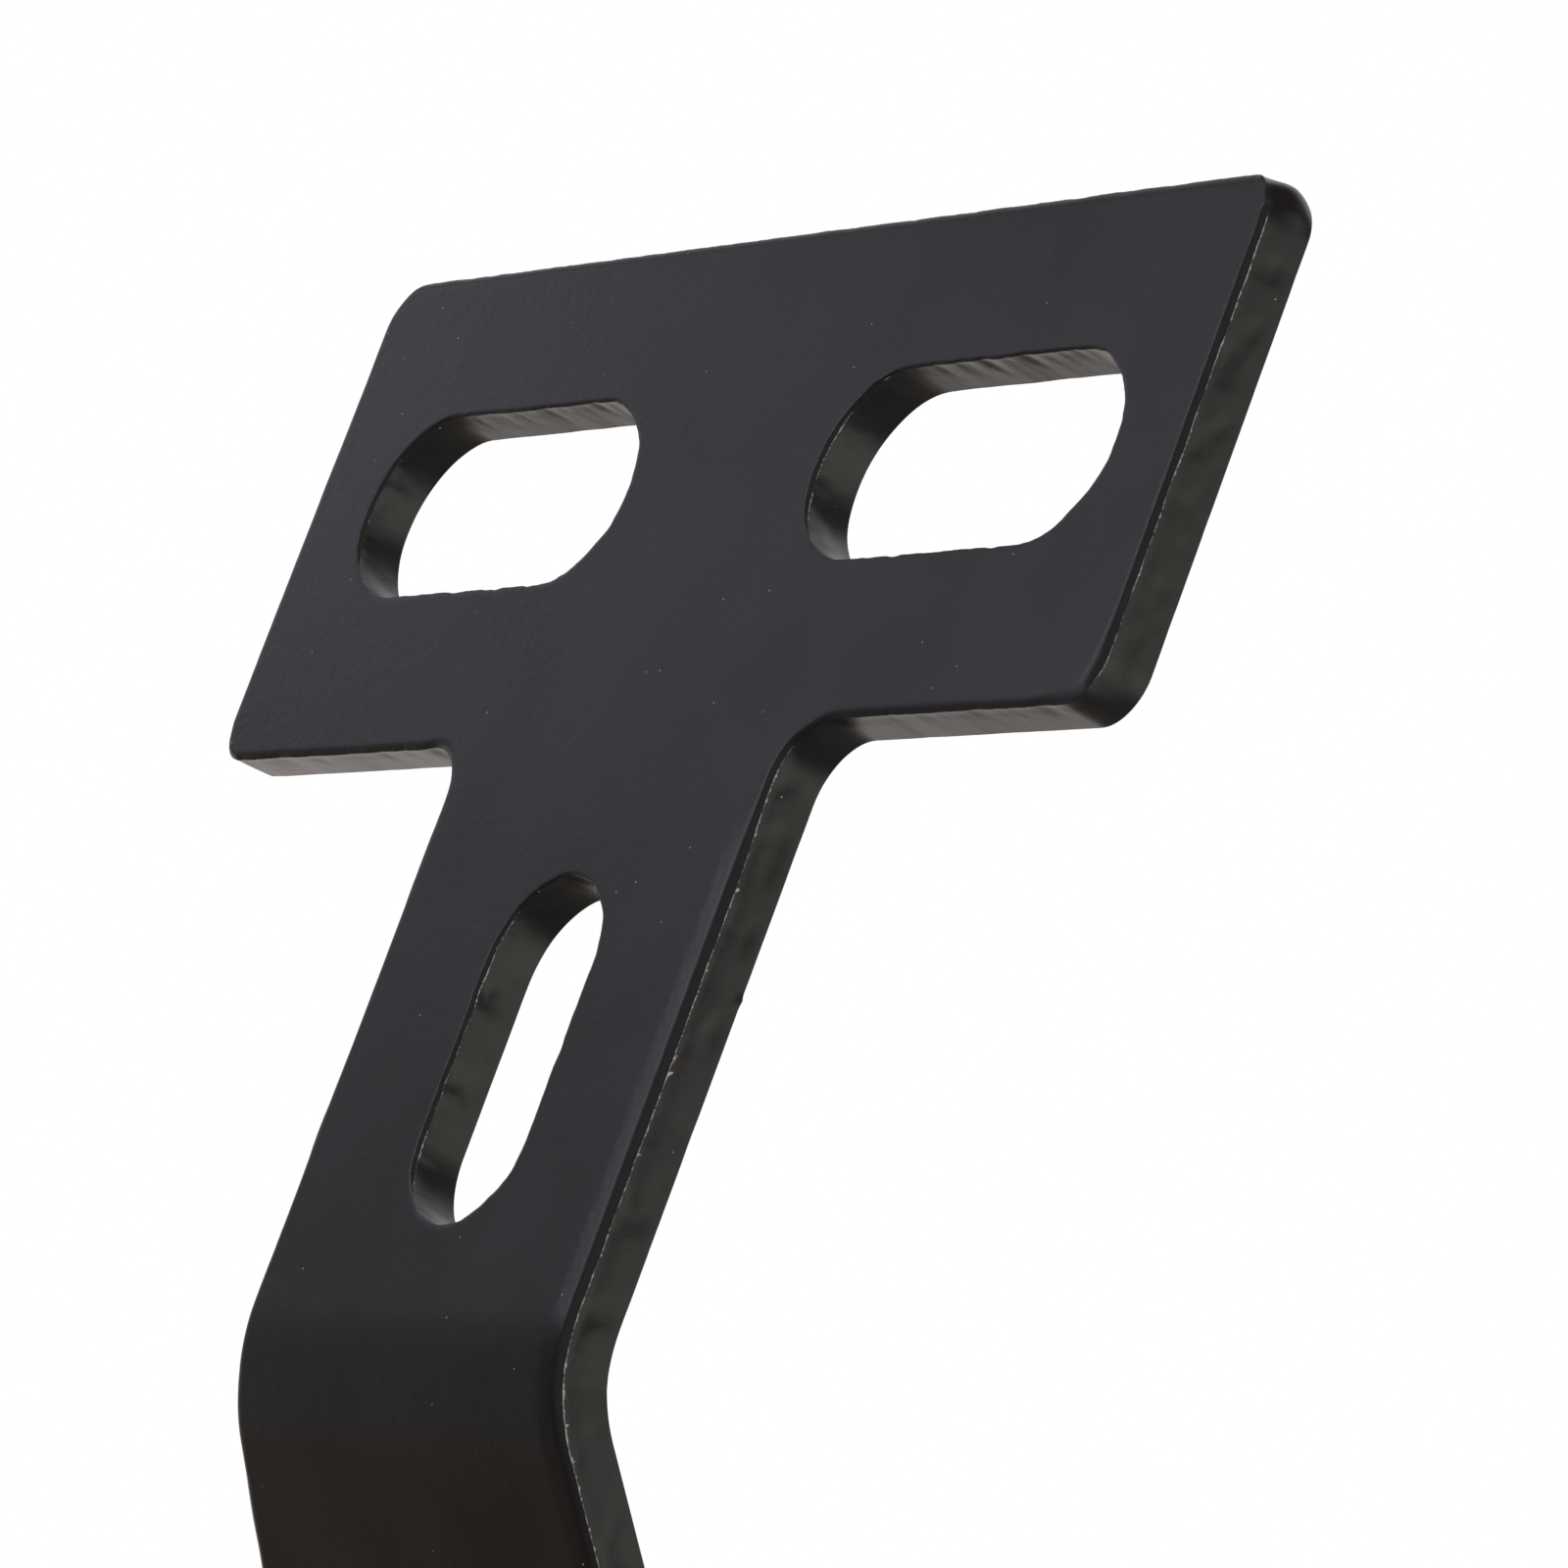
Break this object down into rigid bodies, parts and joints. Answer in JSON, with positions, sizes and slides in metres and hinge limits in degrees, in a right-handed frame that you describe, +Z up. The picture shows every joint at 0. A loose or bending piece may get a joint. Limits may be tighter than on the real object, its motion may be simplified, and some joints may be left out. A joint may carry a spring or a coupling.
{
  "type": "license plate bracket",
  "caption": "T-shaped folded sheet-steel bracket with slots in its cross bar and stem and a foot folded back, black coated, for holding a license plate.",
  "frame": {"origin": "centre of the head's front face, on the metal between the two horizontal slots", "axes": "-Y out of the front face, +Z up the stem towards the head, +X along the head; the foot is folded back towards +Y"},
  "size_m": [0.0554, 0.0142, 0.0606],
  "materials": {
    "satin_black_coating": "satin"
  },
  "bodies": {
    "root": {"bracket_plate": "satin_black_coating"}
  },
  "joints": []
}
